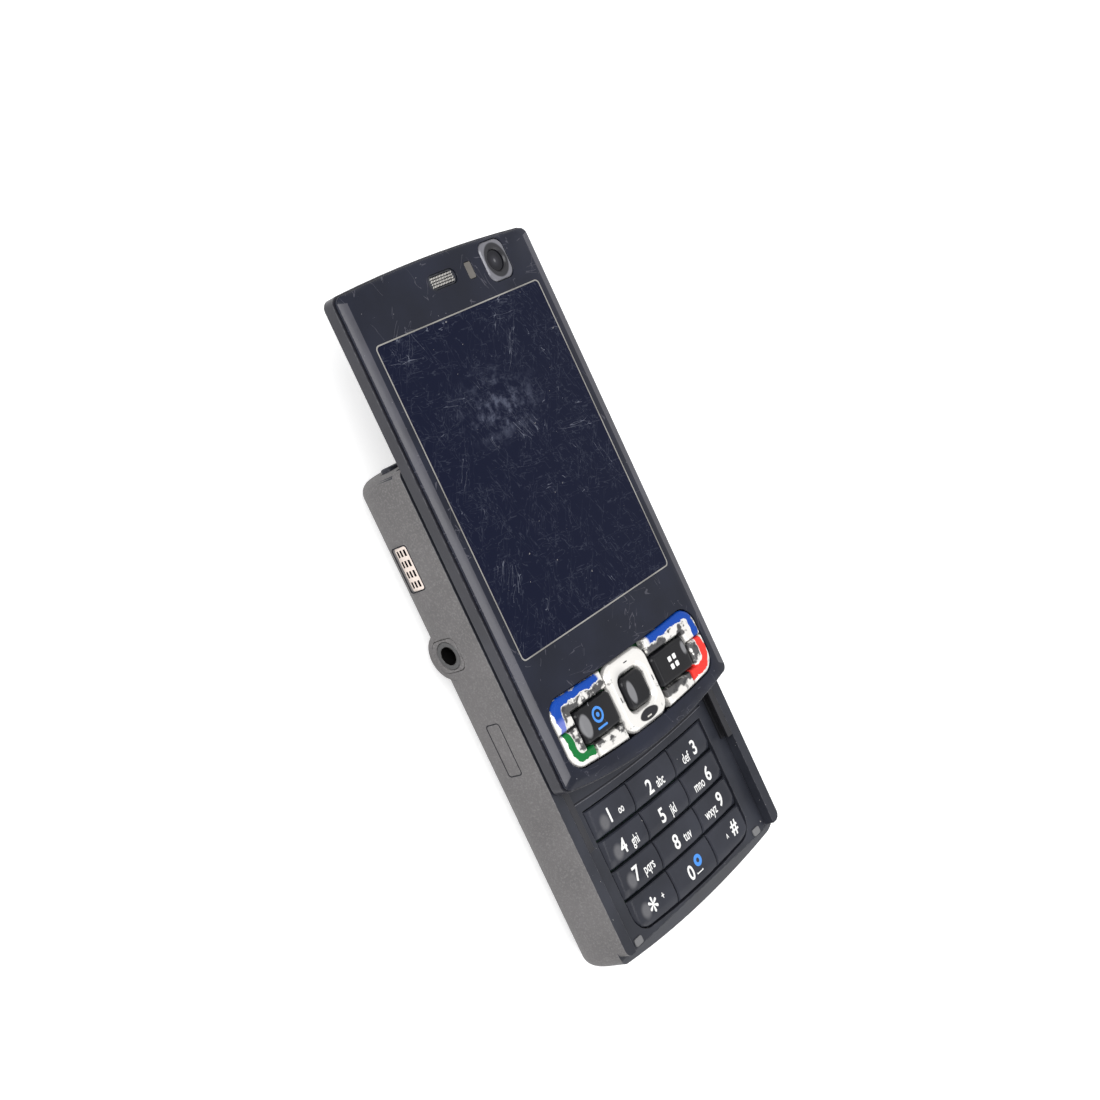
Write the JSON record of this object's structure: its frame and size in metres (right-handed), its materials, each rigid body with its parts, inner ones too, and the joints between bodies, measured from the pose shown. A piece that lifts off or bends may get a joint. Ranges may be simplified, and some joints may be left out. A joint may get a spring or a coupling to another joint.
{
  "type": "slider mobile phone",
  "caption": "Pocket phone whose display half slides both ways over its base, showing number keys at one end and playback keys at the other.",
  "frame": {"origin": "middle of the base's flat back, phone lying on its back with the slide open for the number keys", "axes": "+X to the right seen from the front, +Y towards the earpiece end, +Z out of the front face"},
  "size_m": [0.0536, 0.1297, 0.0214],
  "materials": {
    "soft_grey": "soft-touch dark grey",
    "deck_black": "matte black",
    "front_black": "glossy blue-black",
    "glass": "polished",
    "chrome_key": "bright plating",
    "black_key": "polished",
    "number_key": "semi-gloss",
    "steel": "brushed",
    "board": "lacquered",
    "rubber": "matte",
    "grille": "satin",
    "sensor": "satin"
  },
  "bodies": {
    "base": {"base_housing": "soft_grey", "keypad_deck": "deck_black", "deck_screws": "steel", "battery": "deck_black", "main_board": "board", "keypad_board": "board", "camera_module": "deck_black", "camera_ring": "chrome_key", "camera_lenses": "glass", "speakers": "deck_black", "speaker_grilles": "grille", "jack_bezel": "front_black", "av_jack": "steel", "ir_window": "front_black", "end_sockets": "steel", "slide_rails": "steel", "deck_bumpers": "rubber"},
    "slide": {"slide_cover": "front_black", "slide_back": "deck_black", "slide_runner": "steel", "display_window": "glass", "display_module": "deck_black", "earpiece": "sensor", "front_camera_bezel": "chrome_key", "front_camera": "black_key", "light_sensor": "sensor", "function_board": "board"},
    "battery_cover": {"battery_cover": "soft_grey"},
    "volume_key": {"volume_key": "soft_grey"},
    "review_key": {"review_key": "soft_grey"},
    "capture_key": {"capture_key": "soft_grey"},
    "power_key": {"power_key": "deck_black"},
    "release_button": {"release_button": "deck_black"},
    "nav_gimbal": {"nav_pivot": "deck_black"},
    "nav_ring": {"nav_ring": "chrome_key"},
    "key_1": {"key_1": "number_key"},
    "key_2": {"key_2": "number_key"},
    "key_3": {"key_3": "number_key"},
    "key_4": {"key_4": "number_key"},
    "key_5": {"key_5": "number_key"},
    "key_6": {"key_6": "number_key"},
    "key_7": {"key_7": "number_key"},
    "key_8": {"key_8": "number_key"},
    "key_9": {"key_9": "number_key"},
    "key_star": {"key_star": "number_key"},
    "key_0": {"key_0": "number_key"},
    "key_hash": {"key_hash": "number_key"},
    "rewind_key": {"rewind_key": "number_key"},
    "play_key": {"play_key": "number_key"},
    "stop_key": {"stop_key": "number_key"},
    "forward_key": {"forward_key": "number_key"},
    "soft_key_left": {"soft_key_left": "chrome_key"},
    "soft_key_right": {"soft_key_right": "chrome_key"},
    "call_key": {"call_key": "chrome_key"},
    "end_key": {"end_key": "chrome_key"},
    "clear_key": {"clear_key": "chrome_key"},
    "edit_key": {"edit_key": "chrome_key"},
    "multimedia_key": {"multimedia_key": "black_key"},
    "menu_key": {"menu_key": "black_key"},
    "select_key": {"select_key": "black_key"}
  },
  "joints": [
    {"name": "phone_slide", "type": "slide", "parent": "base", "child": "slide", "axis": [0, 1, 0], "range_m": [-0.0458, 0]},
    {"name": "battery_cover_slide", "type": "slide", "parent": "base", "child": "battery_cover", "axis": [0, -1, 0], "range_m": [0, 0.006]},
    {"name": "volume_rock", "type": "hinge", "parent": "base", "child": "volume_key", "pos_m": [0.0244, 0.0163, 0.0114], "axis": [0, 0, 1], "range_deg": [-1.6, 1.6], "stiffness_Nm_per_rad": 0.02},
    {"name": "review_press", "type": "slide", "parent": "base", "child": "review_key", "axis": [-1, 0, 0], "range_m": [0, 0.00035], "stiffness_N_per_m": 800},
    {"name": "capture_press", "type": "slide", "parent": "base", "child": "capture_key", "axis": [-1, 0, 0], "range_m": [0, 0.00035], "stiffness_N_per_m": 800},
    {"name": "power_press", "type": "slide", "parent": "base", "child": "power_key", "axis": [0, -1, 0], "range_m": [0, 0.0003], "stiffness_N_per_m": 800},
    {"name": "release_press", "type": "slide", "parent": "base", "child": "release_button", "axis": [0, 0, 1], "range_m": [0, 0.0005], "stiffness_N_per_m": 800},
    {"name": "nav_tilt_side", "type": "hinge", "parent": "slide", "child": "nav_gimbal", "pos_m": [0, -0.00605, 0.0193], "axis": [0, 1, 0], "range_deg": [-1.8, 1.8], "stiffness_Nm_per_rad": 0.02},
    {"name": "nav_tilt_length", "type": "hinge", "parent": "nav_gimbal", "child": "nav_ring", "pos_m": [0, -0.00605, 0.01955], "axis": [1, 0, 0], "range_deg": [-1.6, 1.6], "stiffness_Nm_per_rad": 0.02},
    {"name": "key_1_press", "type": "slide", "parent": "base", "child": "key_1", "axis": [0, 0, -1], "range_m": [0, 0.00025], "stiffness_N_per_m": 800},
    {"name": "key_2_press", "type": "slide", "parent": "base", "child": "key_2", "axis": [0, 0, -1], "range_m": [0, 0.00025], "stiffness_N_per_m": 800},
    {"name": "key_3_press", "type": "slide", "parent": "base", "child": "key_3", "axis": [0, 0, -1], "range_m": [0, 0.00025], "stiffness_N_per_m": 800},
    {"name": "key_4_press", "type": "slide", "parent": "base", "child": "key_4", "axis": [0, 0, -1], "range_m": [0, 0.00025], "stiffness_N_per_m": 800},
    {"name": "key_5_press", "type": "slide", "parent": "base", "child": "key_5", "axis": [0, 0, -1], "range_m": [0, 0.00025], "stiffness_N_per_m": 800},
    {"name": "key_6_press", "type": "slide", "parent": "base", "child": "key_6", "axis": [0, 0, -1], "range_m": [0, 0.00025], "stiffness_N_per_m": 800},
    {"name": "key_7_press", "type": "slide", "parent": "base", "child": "key_7", "axis": [0, 0, -1], "range_m": [0, 0.00025], "stiffness_N_per_m": 800},
    {"name": "key_8_press", "type": "slide", "parent": "base", "child": "key_8", "axis": [0, 0, -1], "range_m": [0, 0.00025], "stiffness_N_per_m": 800},
    {"name": "key_9_press", "type": "slide", "parent": "base", "child": "key_9", "axis": [0, 0, -1], "range_m": [0, 0.00025], "stiffness_N_per_m": 800},
    {"name": "key_star_press", "type": "slide", "parent": "base", "child": "key_star", "axis": [0, 0, -1], "range_m": [0, 0.00025], "stiffness_N_per_m": 800},
    {"name": "key_0_press", "type": "slide", "parent": "base", "child": "key_0", "axis": [0, 0, -1], "range_m": [0, 0.00025], "stiffness_N_per_m": 800},
    {"name": "key_hash_press", "type": "slide", "parent": "base", "child": "key_hash", "axis": [0, 0, -1], "range_m": [0, 0.00025], "stiffness_N_per_m": 800},
    {"name": "rewind_press", "type": "slide", "parent": "base", "child": "rewind_key", "axis": [0, 0, -1], "range_m": [0, 0.00025], "stiffness_N_per_m": 800},
    {"name": "play_press", "type": "slide", "parent": "base", "child": "play_key", "axis": [0, 0, -1], "range_m": [0, 0.00025], "stiffness_N_per_m": 800},
    {"name": "stop_press", "type": "slide", "parent": "base", "child": "stop_key", "axis": [0, 0, -1], "range_m": [0, 0.00025], "stiffness_N_per_m": 800},
    {"name": "forward_press", "type": "slide", "parent": "base", "child": "forward_key", "axis": [0, 0, -1], "range_m": [0, 0.00025], "stiffness_N_per_m": 800},
    {"name": "soft_key_left_press", "type": "slide", "parent": "slide", "child": "soft_key_left", "axis": [0, 0, -1], "range_m": [0, 0.00025], "stiffness_N_per_m": 800},
    {"name": "soft_key_right_press", "type": "slide", "parent": "slide", "child": "soft_key_right", "axis": [0, 0, -1], "range_m": [0, 0.00025], "stiffness_N_per_m": 800},
    {"name": "call_key_press", "type": "slide", "parent": "slide", "child": "call_key", "axis": [0, 0, -1], "range_m": [0, 0.00025], "stiffness_N_per_m": 800},
    {"name": "end_key_press", "type": "slide", "parent": "slide", "child": "end_key", "axis": [0, 0, -1], "range_m": [0, 0.00025], "stiffness_N_per_m": 800},
    {"name": "clear_key_press", "type": "slide", "parent": "slide", "child": "clear_key", "axis": [0, 0, -1], "range_m": [0, 0.00025], "stiffness_N_per_m": 800},
    {"name": "edit_key_press", "type": "slide", "parent": "slide", "child": "edit_key", "axis": [0, 0, -1], "range_m": [0, 0.00025], "stiffness_N_per_m": 800},
    {"name": "multimedia_key_press", "type": "slide", "parent": "slide", "child": "multimedia_key", "axis": [0, 0, -1], "range_m": [0, 0.00025], "stiffness_N_per_m": 800},
    {"name": "menu_key_press", "type": "slide", "parent": "slide", "child": "menu_key", "axis": [0, 0, -1], "range_m": [0, 0.00025], "stiffness_N_per_m": 800},
    {"name": "select_key_press", "type": "slide", "parent": "slide", "child": "select_key", "axis": [0, 0, -1], "range_m": [0, 0.00025], "stiffness_N_per_m": 800}
  ]
}
